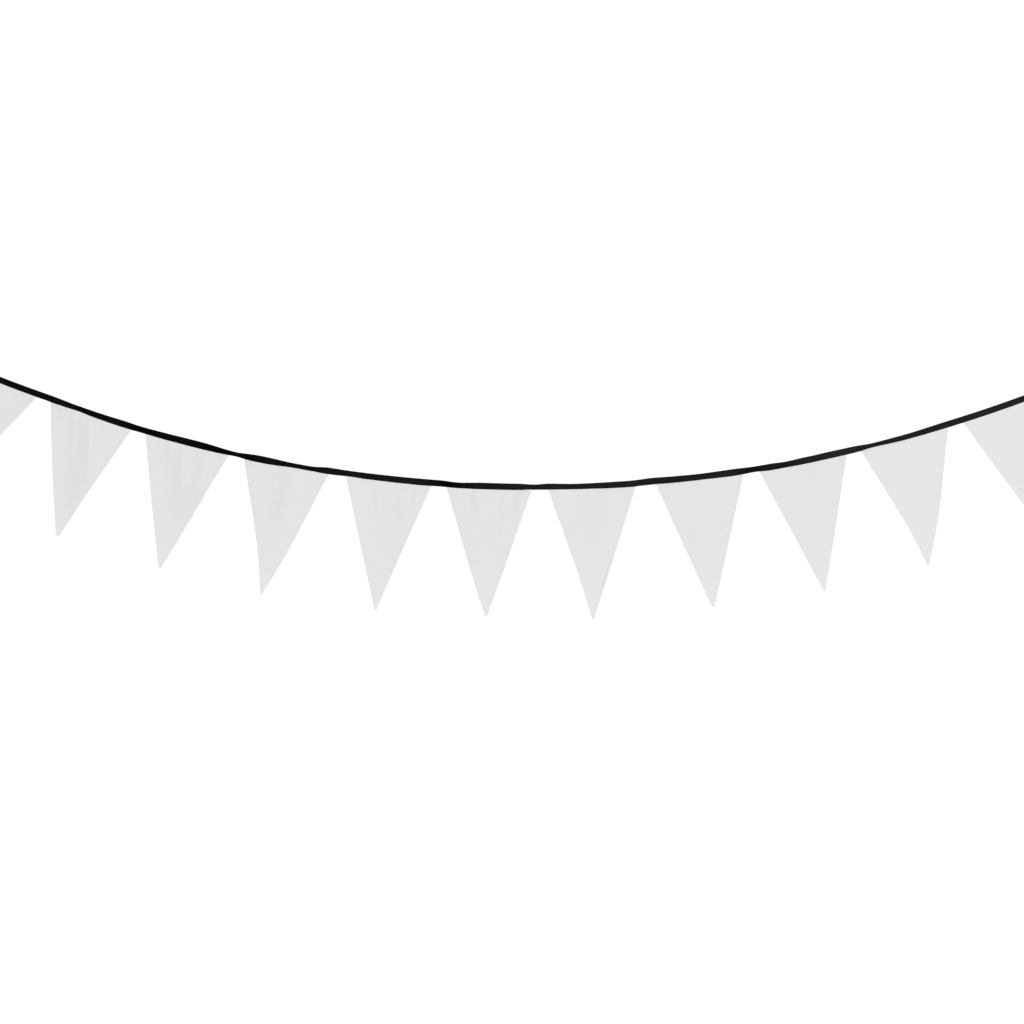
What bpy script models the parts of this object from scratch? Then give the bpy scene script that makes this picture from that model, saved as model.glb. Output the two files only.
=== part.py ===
"""Fabric bunting: eleven white pennants that hang from a black tape folded over their heads.

Metres, +Z up. X runs along the bunting to the right, and the front faces -Y. The origin is the tape's
left end, where something else holds it up. The tape sags in a catenary and turns a little about its own
length, as soft tape does. Each pennant is a triangle with a short straight head inside the tape's fold,
and leaves the tape in the direction in which the tape faces there, so a turn in the tape is a soft fold
below it.
"""

import math
from collections import namedtuple

import bmesh
import bpy
from mathutils import Vector

MM = 0.001
FRONT_TO_BACK = Vector((0, 1, 0))

# The hanging line
SAG_RADIUS = 3.198  # the catenary's parameter, which is its radius of curvature at the lowest point
LOW_POINT = 1.446  # length of tape from the left end to the lowest point
TAPE_LENGTH = 2.718

# The cloth
TAPE_CLOTH = 1.0 * MM
PENNANT_CLOTH = 1.0 * MM
CLEARANCE = 0.4 * MM  # between the tape and the cloth in its fold, and between the tape's own layers
HEAD = 8 * MM  # cloth of a pennant that goes up inside the tape
PARTING = 12 * MM  # length of tape over which its layers part before each head
TURN_REACH = 14 * MM  # how far below the tape a turn in it still shows in the cloth
SWELL_POWER = 1.5  # above 1, a pennant's swelling and its bow lie nearer its point
FADE_IN = 0.16  # share of a fold's length over which it grows from nothing
FADE_OUT = 0.5  # share of its length over which it fades away

# How finely the surfaces are divided
COLUMNS = 12  # strips across a pennant
DROP_ROWS = 10  # strips down a pennant, below the tape
ROW_POWER = 1.4  # above 1, those strips are closer together near the tape
GAP_STEPS = 5  # strips of tape between two pennants
END_STEPS = 2  # strips of tape past the end pennants
TAPE_ROWS = 6  # strips across the unfolded tape, with its crest in the middle

# The pennants, left to right, in mm. start is the length of tape from the left end to the left corner.
# lean is how far the point hangs to the right of square to the head, bow how far the middle of the cloth
# bends to the right on the way, swell how far each side bulges near the point, point the width of the
# blunt point, and swing how far the point hangs forward of the tape.
Pennant = namedtuple("Pennant", "start width drop lean bow swell point swing")
PENNANTS = (
    Pennant(49, 201, 288, -17, 0, 0, 4, 6),
    Pennant(283, 201, 291, 13.6, -2, 0.2, 8, -9),
    Pennant(518, 202, 295.5, 11, -0.3, 1.3, 4, 5),
    Pennant(757, 202, 305, -4, 5.5, -1, 4, 12),
    Pennant(999, 202, 303, 2, -0.7, -0.5, 4, -6),
    Pennant(1236, 201, 299, 3, -0.5, 1.6, 4, 4),
    Pennant(1475, 206, 307, -10, 2, -1.2, 4, -10),
    Pennant(1728, 207, 301, -4, 0, 0.7, 4, 3),
    Pennant(1972.5, 208.8, 303.5, -9, 0.5, 0.4, 2.5, 8),
    Pennant(2216, 212, 300, -24, 6, 0.2, 4, -5),
    Pennant(2464, 206, 300, -7, 0, 1, 4, 7),
)

# The tape, in mm and degrees: a row for each place where it turns. place is the length of tape from the
# left end. turn swings its lower edge back. dip is how far it lies below the true curve.
Bend = namedtuple("Bend", "place turn width dip")
TAPE = (
    Bend(0, 12, 13.4, 0.0),
    Bend(150, -14, 13.2, -0.4),
    Bend(284, 8, 13.4, -2.0),
    Bend(350, -26, 11.4, -1.6),
    Bend(405, -15, 12.8, -0.3),
    Bend(462, -4, 14.2, 0.1),
    Bend(500, 18, 12.8, 0.4),
    Bend(640, 0, 15.0, -0.3),
    Bend(735, 48, 11.0, 1.1),
    Bend(795, 4, 14.8, 0.5),
    Bend(880, -34, 10.6, 0.6),
    Bend(915, -32, 10.6, 0.9),
    Bend(960, 6, 14.2, -0.7),
    Bend(1008, -18, 12.4, -1.2),
    Bend(1050, -12, 13.2, -0.8),
    Bend(1180, 2, 14.0, -0.5),
    Bend(1218, 6, 13.2, -0.6),
    Bend(1265, 26, 11.9, 1.1),
    Bend(1322, 3, 13.9, 0.0),
    Bend(1400, 0, 13.6, -0.1),
    Bend(1442, -28, 11.2, 0.2),
    Bend(1476, -10, 12.8, -0.7),
    Bend(1534, 24, 11.4, 0.0),
    Bend(1664, 5, 13.4, 0.3),
    Bend(1725, -3, 14.2, -1.9),
    Bend(1775, -6, 13.9, -1.0),
    Bend(1832, -12, 13.2, -0.5),
    Bend(1908, 0, 14.7, -0.3),
    Bend(1964, 20, 11.7, -0.3),
    Bend(2000, 18, 14.0, 0.6),
    Bend(2036, 20, 12.2, 1.2),
    Bend(2085, 6, 14.0, 0.5),
    Bend(2146, 2, 14.5, -0.2),
    Bend(2192, 2, 14.0, -0.1),
    Bend(2246, -38, 10.0, 0.5),
    Bend(2320, -26, 11.8, 1.5),
    Bend(2430, -8, 13.4, 0.2),
    Bend(2600, 10, 13.2, 0.1),
    Bend(2718, 6, 13.4, 0.2),
)

# The main folds of the pennants: a row for each. at and foot are where it starts and ends across the
# cloth, from 0 at the left side to 1 at the right. top and end are how far down it starts and ends, as
# shares of the drop. half is its half width and rise how far it stands forward, in mm.
Fold = namedtuple("Fold", "pennant at foot top end half rise")
FOLDS = (
    Fold(1, 0.60, 0.50, 0.00, 0.90, 34, 3.0),
    Fold(2, 0.22, 0.34, 0.00, 0.98, 36, -2.0),
    Fold(2, 0.46, 1.16, 0.00, 0.92, 36, 3.8),
    Fold(3, 0.15, 0.55, 0.00, 0.98, 60, -3.0),
    Fold(3, 0.30, 0.34, 0.00, 0.24, 18, 1.4),
    Fold(3, 0.44, 0.60, 0.00, 0.48, 26, 2.2),
    Fold(3, 0.74, 0.92, 0.00, 0.50, 30, 3.1),
    Fold(3, 0.98, 1.04, 0.10, 0.60, 26, 2.8),
    Fold(4, 0.62, 0.54, 0.00, 0.50, 30, 1.8),
    Fold(4, 0.68, 0.64, 0.05, 0.66, 46, 2.2),
    Fold(5, 0.30, 0.50, 0.00, 0.90, 60, -2.2),
    Fold(5, 0.36, 0.40, 0.00, 0.30, 15, 1.2),
    Fold(5, 0.68, 0.86, 0.00, 0.42, 22, 1.5),
    Fold(5, 0.83, 0.92, 0.00, 0.22, 11, 1.2),
    Fold(6, 0.24, 0.27, 0.00, 0.22, 20, -0.8),
    Fold(6, 0.34, 0.40, 0.00, 0.24, 20, 1.4),
    Fold(6, 0.69, 0.76, 0.00, 0.42, 14, 1.1),
    Fold(6, 0.86, 0.97, 0.00, 0.28, 19, 2.0),
    Fold(7, 0.31, 0.36, 0.00, 0.50, 24, -0.9),
    Fold(7, 0.66, 0.72, 0.00, 0.55, 44, 2.0),
    Fold(7, 1.00, 1.00, 0.52, 0.84, 8, 1.4),
    Fold(8, 0.20, 0.30, 0.00, 0.80, 40, -0.7),
    Fold(9, 0.64, 0.64, 0.00, 0.42, 30, 1.3),
    Fold(10, 0.36, 0.30, 0.08, 0.70, 60, -1.8),
    Fold(10, 0.42, 0.44, 0.00, 0.26, 20, 1.2),
    Fold(11, 0.30, 0.30, 0.00, 0.60, 50, -2.2),
    Fold(11, 0.40, 0.42, 0.00, 0.25, 18, 1.0),
)


def clear_scene():
    for item in list(bpy.data.objects):
        bpy.data.objects.remove(item)


def cloth_material(name, colour, roughness):
    material = bpy.data.materials.new(name)
    material.use_nodes = True
    shader = material.node_tree.nodes["Principled BSDF"]
    shader.inputs["Base Color"].default_value = (*colour, 1)
    shader.inputs["Roughness"].default_value = roughness
    shader.inputs["Metallic"].default_value = 0
    return material


def ease(share):
    """0 to 1 with a level start and end."""
    share = min(max(share, 0), 1)
    return share * share * (3 - 2 * share)


def hump(share):
    """1 at 0, falling smoothly to 0 at -1 and 1."""
    return ease(1 - abs(share))


def tape_at(along):
    """The tape's turn in radians, width and dip at a length of tape from the left end."""
    place = along / MM
    before = sum(bend.place <= place for bend in TAPE[:-1]) - 1
    left, right = TAPE[before], TAPE[before + 1]
    share = ease((place - left.place) / (right.place - left.place))
    turn, width, dip = (a + (b - a) * share for a, b in zip(left[1:], right[1:]))
    return math.radians(turn), width * MM, dip * MM


def curve_point(along):
    """The point of the catenary at a length of tape from the left end, and the tape's direction there."""
    from_low = along - LOW_POINT
    slope_length = math.hypot(SAG_RADIUS, from_low)
    x = SAG_RADIUS * (math.asinh(from_low / SAG_RADIUS) + math.asinh(LOW_POINT / SAG_RADIUS))
    z = slope_length - math.hypot(SAG_RADIUS, LOW_POINT)
    return Vector((x, 0, z)), Vector((SAG_RADIUS, 0, from_low)) / slope_length


def tape_frame(along):
    """The tape's centre, the directions down its width and out of its back, and its width."""
    centre, direction = curve_point(along)
    turn, width, dip = tape_at(along)
    square = Vector((direction.z, 0, -direction.x))
    down = math.cos(turn) * square + math.sin(turn) * FRONT_TO_BACK
    return centre + dip * square, down, direction.cross(down), width


def spans():
    """The first and last length of tape that each pennant's head takes."""
    return [(row.start * MM, (row.start + row.width) * MM) for row in PENNANTS]


def stations():
    """The lengths of tape at which it gets a cross-section, with one on each column of each pennant."""
    places = []
    before = 0
    for first, last in spans():
        steps = GAP_STEPS if places else END_STEPS
        places += [before + (first - before) * step / steps for step in range(steps)]
        places += [first + (last - first) * step / COLUMNS for step in range(COLUMNS)]
        before = last
    places += [before + (TAPE_LENGTH - before) * step / END_STEPS for step in range(END_STEPS + 1)]
    return places


def layer_offset(along):
    """How far each layer of the tape lies from the middle of the fold: more where a head is between them."""
    closed = (TAPE_CLOTH + CLEARANCE) / 2
    opened = (TAPE_CLOTH + PENNANT_CLOTH) / 2 + CLEARANCE
    away = min(max(first - along, along - last, 0) for first, last in spans())
    return closed + (opened - closed) * (1 - ease(away / PARTING))


def tape_point(along, row):
    """A point of the folded tape: rows run up the front layer, over the fold and down the back layer."""
    centre, down, back, width = tape_frame(along)
    offset = layer_offset(along)
    edge = width / 2
    shoulder = -edge + offset + TAPE_CLOTH / 2
    front_layer = ((edge, -offset), (edge - HEAD, -offset), (shoulder, -offset))
    crest = ((shoulder - offset, 0),)
    back_layer = tuple((drop, -side) for drop, side in reversed(front_layer))
    drop, side = (front_layer + crest + back_layer)[row]
    return centre + drop * down + side * back


def fold_rise(number, across, share, width):
    """How far the folds of a pennant stand forward at a share across it and a share down it."""
    total = 0
    for fold in FOLDS:
        if fold.pennant != number or not fold.top <= share <= fold.end:
            continue
        length = (share - fold.top) / (fold.end - fold.top)
        middle = fold.at + (fold.foot - fold.at) * length
        strength = ease(length / FADE_IN) * ease((1 - length) / FADE_OUT)
        sideways = (across - middle) * width * (1 - share)
        total += fold.rise * strength * hump(sideways / fold.half)
    return total * MM


def pennant_point(number, row, across, below):
    """A point of a pennant at a share across it and a length below the tape, which is negative inside it."""
    centre, down, _, tape_width = tape_frame((row.start + row.width * across) * MM)
    exit_point = centre + tape_width / 2 * down
    if below <= 0:
        return exit_point + below * down
    share = below / (row.drop * MM)
    halfway = (row.start + row.width / 2) * MM
    middle, direction = curve_point(halfway)
    square = Vector((direction.z, 0, -direction.x))
    reach = row.drop * MM + tape_at(halfway)[1] / 2
    point = middle + reach * square + row.lean * MM * direction
    bulge = math.sin(math.pi * share**SWELL_POWER)
    spread = row.point / 2 * share + row.swell * bulge
    sideways = (2 * across - 1) * spread + row.bow * bulge
    flat_exit = Vector((exit_point.x, 0, exit_point.z))
    place = flat_exit.lerp(point, share) + sideways * MM * direction
    turned = (tape_width / 2 + below) * down.y * math.exp(-below / TURN_REACH)
    swing = row.swing * MM * ease(share)
    return place + (turned - swing - fold_rise(number, across, share, row.width)) * FRONT_TO_BACK


def drop_rows(row):
    """Lengths below the tape of a pennant's rows."""
    head = [-HEAD, 0]
    return head + [row.drop * MM * (step / DROP_ROWS) ** ROW_POWER for step in range(1, DROP_ROWS + 1)]


def sheet(name, columns, rows, place, thickness, material, collection, crest=None):
    """A sheet of cloth: a grid whose points are set by place(column, row), given its thickness.

    Past the crest of a fold, the faces are split the other way, so that both layers twist alike.
    """
    mesh = bpy.data.meshes.new(name)
    grid = bmesh.new()
    bmesh.ops.create_grid(grid, x_segments=columns, y_segments=rows, size=1)
    crest_height = 1 if crest is None else 2 * crest / rows - 1
    behind = [face for face in grid.faces if face.calc_center_median().y > crest_height]
    bmesh.ops.triangulate(grid, faces=behind, quad_method="ALTERNATE")
    ahead = [face for face in grid.faces if len(face.verts) == 4]
    bmesh.ops.triangulate(grid, faces=ahead, quad_method="FIXED")
    for vertex in grid.verts:
        column = round((vertex.co.x + 1) / 2 * columns)
        row = round((vertex.co.y + 1) / 2 * rows)
        vertex.co = place(column, row)
    grid.to_mesh(mesh)
    grid.free()
    mesh.shade_smooth()
    mesh.materials.append(material)
    made = bpy.data.objects.new(name, mesh)
    collection.objects.link(made)
    solidify = made.modifiers.new("Cloth thickness", "SOLIDIFY")
    solidify.thickness = thickness
    solidify.offset = 0
    solidify.use_even_offset = True
    return made


def build_tape(collection):
    material = cloth_material("black_tape", (0.012, 0.012, 0.015), 0.62)
    places = stations()
    sheet(
        "binding_tape",
        len(places) - 1,
        TAPE_ROWS,
        lambda column, row: tape_point(places[column], row),
        TAPE_CLOTH,
        material,
        collection,
        crest=TAPE_ROWS // 2,
    )


def build_pennant(number, row, material, collection):
    depths = drop_rows(row)
    last = len(depths) - 1
    sheet(
        f"pennant_{number:02d}",
        COLUMNS,
        last,
        lambda column, line: pennant_point(number, row, column / COLUMNS, depths[last - line]),
        PENNANT_CLOTH,
        material,
        collection,
    )


def main():
    clear_scene()
    collection = bpy.data.collections.new("fabric bunting")
    bpy.context.scene.collection.children.link(collection)
    build_tape(collection)
    cloth = cloth_material("white_cloth", (0.80, 0.80, 0.79), 0.85)
    for number, row in enumerate(PENNANTS, start=1):
        build_pennant(number, row, cloth, collection)


main()
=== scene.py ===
"""Looks of the fabric bunting: white pennants with turned, pressed edges, sewn into a folded black tape.

Metres, +Z up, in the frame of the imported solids: X runs along the bunting and the front faces -Y. The
tables that place the tape and the pennants are the same as in the part's source, so every piece lies on
its solid. To them this script adds what is finer: the turned edges, creases, puckers and unevenness of the
cloth, the tape's turned-in edges, its stitches, and the weave.
"""

import math
from collections import namedtuple

import bmesh
import bpy
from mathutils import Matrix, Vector, noise


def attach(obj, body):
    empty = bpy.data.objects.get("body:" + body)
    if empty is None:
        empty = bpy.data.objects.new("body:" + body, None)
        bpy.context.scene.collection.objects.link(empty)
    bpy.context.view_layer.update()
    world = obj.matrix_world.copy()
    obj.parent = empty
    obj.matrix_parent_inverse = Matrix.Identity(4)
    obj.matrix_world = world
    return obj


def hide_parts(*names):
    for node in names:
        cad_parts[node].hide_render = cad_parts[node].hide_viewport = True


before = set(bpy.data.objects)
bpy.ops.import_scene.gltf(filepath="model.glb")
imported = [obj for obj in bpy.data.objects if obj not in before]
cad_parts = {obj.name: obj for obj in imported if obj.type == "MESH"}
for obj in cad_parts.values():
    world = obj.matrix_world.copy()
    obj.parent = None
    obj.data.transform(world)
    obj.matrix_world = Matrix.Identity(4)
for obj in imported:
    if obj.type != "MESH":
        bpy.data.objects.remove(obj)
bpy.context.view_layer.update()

MM = 0.001
FRONT_TO_BACK = Vector((0, 1, 0))

# The hanging line
SAG_RADIUS = 3.198
LOW_POINT = 1.446
TAPE_LENGTH = 2.718

# The cloth
HEAD = 8 * MM  # cloth of a pennant that goes up inside the tape
TURN_REACH = 14 * MM  # how far below the tape a turn in it still shows in the cloth
SWELL_POWER = 1.5  # above 1, a pennant's swelling and its bow lie nearer its point
FADE_IN = 0.16  # share of a fold's length over which it grows from nothing
FADE_OUT = 0.5  # share of its length over which it fades away
PARTING = 12 * MM  # length of tape over which its layers part before each head

# A pennant's sides are turned in and pressed, so it is thicker there
HALF_CLOTH = 0.40 * MM
SEAM_EXTRA = 0.16 * MM  # more on each face over the turned-in edges
SEAM_WIDTH = 6.5 * MM
SEAM_STEP = 1.6 * MM  # width over which that extra thickness falls away
EDGE_ROUND = 0.45 * MM
TIP_ROUND = 2.0 * MM  # length over which a pennant's point narrows to its rounded end
TIP_LEAST = 0.3  # share of its width that is left at the very end

# The tape is one strip with both edges turned in, folded once along its middle
LAYER = 0.60 * MM
LAYER_GAP = 0.04 * MM  # between the tape's layers, and between them and the cloth
HEM_EXTRA = 0.12 * MM  # more on each face over the tape's turned-in edges
HEM_WIDTH = 6.0 * MM
HEM_STEP = 1.2 * MM
SPREAD = 1.5 * MM  # the soft tape is this much wider than its solid
TURNED_SPREAD = 1.3 * MM  # and this much more where it is turned edge on, because its solid is thicker
TAPE_SHARPNESS = 1.5  # how many times tighter than a pennant's edge the tape's edge is rounded

# The stitches
STITCH_HEIGHT = 2.2 * MM  # above the tape's lower edge
STITCH_PITCH = 3.2 * MM
STITCH_LENGTH = 2.6 * MM
STITCH_ARCH = 0.35 * MM  # how far the middle of a stitch's curve is pulled out of the cloth
STITCH_LEAST = (0.90, 0.90, 0.80)  # the smallest stitch, as shares of the usual length, width and arch
STITCH_MOST = (1.06, 1.10, 1.20)
STITCH_SEED = 11
GROOVE_DEPTH = 0.14 * MM
GROOVE_HALF = 1.0 * MM  # half the width of the groove that the stitches press into the tape
THREAD = 0.42 * MM

# How finely the surfaces are divided
EDGE_STEPS = (0, 0.12, 0.4, 1.0, 2.2, 4.0, 5.4, 6.4, 7.3, 8.4)  # mm in from a pennant's side
ROUNDED_STEPS = 5  # as many of them lie near its head and its point
SIDE_SHARE = 0.8  # the most of half a row that those steps take up
MIDDLE_COLUMNS = 60
TOP_STEP = 2.5 * MM  # between a pennant's rows near the tape
TOP_REACH = 70 * MM  # how far down those rows go
LOW_STEP = 4 * MM  # between its other rows
SECTION_STEP = 4 * MM  # between the tape's cross-sections
LAYER_STEPS = (0.0, 0.12, 0.45, 1.3, 2.2, 3.1, 4.6, 6.0, 7.2, 9.0)  # mm up from the tape's lower edge
CREST_STEPS = 6  # round the tape's fold
ARC_STEPS = 5  # along a stitch
THREAD_SIDES = 6

# Unevenness, each with its spacing and how far it stands out
BROAD_SPACING = 42 * MM
BROAD_RISE = 0.30 * MM
FINE_SPACING = 11 * MM
FINE_RISE = 0.05 * MM
PUCKER_SPACING = 8.5 * MM
PUCKER_RISE = 0.45 * MM
PUCKER_REACH = 22 * MM
PUCKER_STRETCH = 4  # how many times longer than wide a pucker is
EDGE_SPACING = 34 * MM
EDGE_RISE = 0.30 * MM
TAPE_SPACING = 26 * MM
TAPE_RISE = 0.22 * MM
LAYER_RISE = 0.5  # share of it by which each of the tape's layers moves alone
RIPPLE_REACH = 4 * MM  # length over which the ripple of the tape's lower edge grows
SEED_STEP = 7.3  # keeps the unevenness of one piece apart from that of the next
SIDE_SEED = 0.5  # added to a pennant's number for its sides
SWAY_SEED = 40
LAYER_SEED = 50
RIPPLE_SEED = 60

# The weave of the pennants and of the tape
COTTON_THREADS = 2200.0  # to the metre, each way
TAPE_THREADS = 2600.0
TAPE_SLANT = math.radians(45)
COTTON_WAVER = 1.6  # how many threads' widths the threads wander
TAPE_WAVER = 1.2
WAVER_SCALE = 0.03  # how fast they wander, to the thread
STRAND_SCALE = 1.7  # how fast the tone changes from thread to thread
STRAND_LENGTH = 0.02  # and along a thread, as a share of that
COVERED = 0.35  # share of a thread's height that is left where the other thread passes over it
COTTON_RELIEF = 0.10 * MM
TAPE_RELIEF = 0.04 * MM

# How fine the spots are in which the finishes vary, and the sewing thread's twist, to the metre
MOTTLE_SCALE = 26.0  # of the pennants
WEAR_SCALE = 60.0  # of the tape's worn edges
SHEEN_SPOT_SCALE = 11.0  # of the uneven painted sheen on the tape
FLOOR_SCALE = 1.4
TWIST_SCALE = 900.0
TWIST_RELIEF = 0.05 * MM

# Colours. A pair goes from the darkest thread or spot to the lightest.
DULL_WHITE = (0.818, 0.818, 0.818, 1)
CLEAN_WHITE = (0.836, 0.836, 0.836, 1)
PAINTED_LIGHT_WHITE = (0.844, 0.844, 0.844, 1)  # painted light from below, near a pennant's point
WEAVE_SHADE_WHITE = (0.60, 0.60, 0.60, 1)  # painted shade between its threads
DEEP_BLACK = (0.0002, 0.0002, 0.0003, 1), (0.0008, 0.0008, 0.0010, 1)
# painted sheen: the lighter black that stands in for the light from the right on the tape
PAINTED_SHEEN_BLACK = (0.0126, 0.0123, 0.0148, 1), (0.0176, 0.0172, 0.0207, 1)
WORN_BLACK = (0.012, 0.012, 0.0135, 1)
# the thread's black, darkest in the grooves of its twist as painted shade
THREAD_BLACK = (0.0012, 0.0012, 0.0014, 1), (0.005, 0.005, 0.0056, 1)
PALE_FLOOR = (0.87, 0.87, 0.87, 1), (0.91, 0.91, 0.91, 1)

# Where the colours change
PAINTED_LIGHT_BELOW = (0.14, 0.28)  # lengths below the tape between which a pennant grows paler, as painted light from below
EDGE_WORN = 0.9 * MM  # height of the worn lower edge of the tape's layers
CREST_WORN = (11.5 * MM, 13.5 * MM)  # heights above that edge between which the wear of the crest grows

# The painted sheen of the light from the right on the tape, and the lengths of tape between which it grows
LEFT_SHEEN = 0.22
FULL_SHEEN = 0.85
SHEEN_GROWS = (0.75, 1.5)
LAST_SHEEN = 1.3  # how many times stronger it gets towards the right end
LAST_SHEEN_GROWS = (2.0, 2.25)

# The view, the surroundings and the lights
VIEW_CENTRE = Vector((1.3449, 0, -0.3705))
VIEW_WIDTH = 2.406
VIEW_DISTANCE = 9.0
SEEN_WHITE = 1.04
AMBIENT = 0.40
FLOOR_MIDDLE = Vector((1.34, -3.4, -2.35))
FLOOR_RADIUS = 8.8
FLOOR_SIDES = 96
FLOOR_SEEN = 4.0  # distance from the bunting's middle at which the floor starts to fade into the white
FLOOR_LOST = 8.0

Lamp = namedtuple("Lamp", "name x y z size power")
LAMPS = (
    Lamp("upper right", 8.0, -6.0, 4.6, 4.0, 60),
    Lamp("front right", 9.6, -34.0, 1.6, 8.0, 5920),
    Lamp("behind left", -5.0, 14.0, 2.2, 4.0, 1370),
)

# Stretches of the tape with painted shade, where it turns away from the light and its painted sheen is taken
# out, in mm. place is the length of tape from the left end to the middle of one, half its half length, and
# kept the share of the painted sheen that is missing there.
ShadedStretch = namedtuple("ShadedStretch", "place half kept")
SHADED_STRETCHES = (
    ShadedStretch(515, 75, 1.0),
    ShadedStretch(690, 140, 1.0),
    ShadedStretch(1238, 80, 1.0),
    ShadedStretch(1350, 75, 0.4),
    ShadedStretch(1690, 90, 0.3),
    ShadedStretch(1952, 55, 0.65),
    ShadedStretch(2028, 60, 0.35),
)

# The pennants, left to right, in mm. start is the length of tape from the left end to the left corner.
# lean is how far the point hangs to the right of square to the head, bow how far the middle of the cloth
# bends to the right on the way, swell how far each side bulges near the point, point the width of the
# blunt point, and swing how far the point hangs forward of the tape.
Pennant = namedtuple("Pennant", "start width drop lean bow swell point swing")
PENNANTS = (
    Pennant(49, 201, 288, -17, 0, 0, 4, 6),
    Pennant(283, 201, 291, 13.6, -2, 0.2, 8, -9),
    Pennant(518, 202, 295.5, 11, -0.3, 1.3, 4, 5),
    Pennant(757, 202, 305, -4, 5.5, -1, 4, 12),
    Pennant(999, 202, 303, 2, -0.7, -0.5, 4, -6),
    Pennant(1236, 201, 299, 3, -0.5, 1.6, 4, 4),
    Pennant(1475, 206, 307, -10, 2, -1.2, 4, -10),
    Pennant(1728, 207, 301, -4, 0, 0.7, 4, 3),
    Pennant(1972.5, 208.8, 303.5, -9, 0.5, 0.4, 2.5, 8),
    Pennant(2216, 212, 300, -24, 6, 0.2, 4, -5),
    Pennant(2464, 206, 300, -7, 0, 1, 4, 7),
)

# The tape, in mm and degrees: a row for each place where it turns. place is the length of tape from the
# left end. turn swings its lower edge back. dip is how far it lies below the true curve.
Bend = namedtuple("Bend", "place turn width dip")
TAPE = (
    Bend(0, 12, 13.4, 0.0),
    Bend(150, -14, 13.2, -0.4),
    Bend(284, 8, 13.4, -2.0),
    Bend(350, -26, 11.4, -1.6),
    Bend(405, -15, 12.8, -0.3),
    Bend(462, -4, 14.2, 0.1),
    Bend(500, 18, 12.8, 0.4),
    Bend(640, 0, 15.0, -0.3),
    Bend(735, 48, 11.0, 1.1),
    Bend(795, 4, 14.8, 0.5),
    Bend(880, -34, 10.6, 0.6),
    Bend(915, -32, 10.6, 0.9),
    Bend(960, 6, 14.2, -0.7),
    Bend(1008, -18, 12.4, -1.2),
    Bend(1050, -12, 13.2, -0.8),
    Bend(1180, 2, 14.0, -0.5),
    Bend(1218, 6, 13.2, -0.6),
    Bend(1265, 26, 11.9, 1.1),
    Bend(1322, 3, 13.9, 0.0),
    Bend(1400, 0, 13.6, -0.1),
    Bend(1442, -28, 11.2, 0.2),
    Bend(1476, -10, 12.8, -0.7),
    Bend(1534, 24, 11.4, 0.0),
    Bend(1664, 5, 13.4, 0.3),
    Bend(1725, -3, 14.2, -1.9),
    Bend(1775, -6, 13.9, -1.0),
    Bend(1832, -12, 13.2, -0.5),
    Bend(1908, 0, 14.7, -0.3),
    Bend(1964, 20, 11.7, -0.3),
    Bend(2000, 18, 14.0, 0.6),
    Bend(2036, 20, 12.2, 1.2),
    Bend(2085, 6, 14.0, 0.5),
    Bend(2146, 2, 14.5, -0.2),
    Bend(2192, 2, 14.0, -0.1),
    Bend(2246, -38, 10.0, 0.5),
    Bend(2320, -26, 11.8, 1.5),
    Bend(2430, -8, 13.4, 0.2),
    Bend(2600, 10, 13.2, 0.1),
    Bend(2718, 6, 13.4, 0.2),
)

# The main folds of the pennants: a row for each. at and foot are where it starts and ends across the
# cloth, from 0 at the left side to 1 at the right. top and end are how far down it starts and ends, as
# shares of the drop. half is its half width and rise how far it stands forward, in mm.
Fold = namedtuple("Fold", "pennant at foot top end half rise")
FOLDS = (
    Fold(1, 0.60, 0.50, 0.00, 0.90, 34, 3.0),
    Fold(2, 0.22, 0.34, 0.00, 0.98, 36, -2.0),
    Fold(2, 0.46, 1.16, 0.00, 0.92, 36, 3.8),
    Fold(3, 0.15, 0.55, 0.00, 0.98, 60, -3.0),
    Fold(3, 0.30, 0.34, 0.00, 0.24, 18, 1.4),
    Fold(3, 0.44, 0.60, 0.00, 0.48, 26, 2.2),
    Fold(3, 0.74, 0.92, 0.00, 0.50, 30, 3.1),
    Fold(3, 0.98, 1.04, 0.10, 0.60, 26, 2.8),
    Fold(4, 0.62, 0.54, 0.00, 0.50, 30, 1.8),
    Fold(4, 0.68, 0.64, 0.05, 0.66, 46, 2.2),
    Fold(5, 0.30, 0.50, 0.00, 0.90, 60, -2.2),
    Fold(5, 0.36, 0.40, 0.00, 0.30, 15, 1.2),
    Fold(5, 0.68, 0.86, 0.00, 0.42, 22, 1.5),
    Fold(5, 0.83, 0.92, 0.00, 0.22, 11, 1.2),
    Fold(6, 0.24, 0.27, 0.00, 0.22, 20, -0.8),
    Fold(6, 0.34, 0.40, 0.00, 0.24, 20, 1.4),
    Fold(6, 0.69, 0.76, 0.00, 0.42, 14, 1.1),
    Fold(6, 0.86, 0.97, 0.00, 0.28, 19, 2.0),
    Fold(7, 0.31, 0.36, 0.00, 0.50, 24, -0.9),
    Fold(7, 0.66, 0.72, 0.00, 0.55, 44, 2.0),
    Fold(7, 1.00, 1.00, 0.52, 0.84, 8, 1.4),
    Fold(8, 0.20, 0.30, 0.00, 0.80, 40, -0.7),
    Fold(9, 0.64, 0.64, 0.00, 0.42, 30, 1.3),
    Fold(10, 0.36, 0.30, 0.08, 0.70, 60, -1.8),
    Fold(10, 0.42, 0.44, 0.00, 0.26, 20, 1.2),
    Fold(11, 0.30, 0.30, 0.00, 0.60, 50, -2.2),
    Fold(11, 0.40, 0.42, 0.00, 0.25, 18, 1.0),
)

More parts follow.
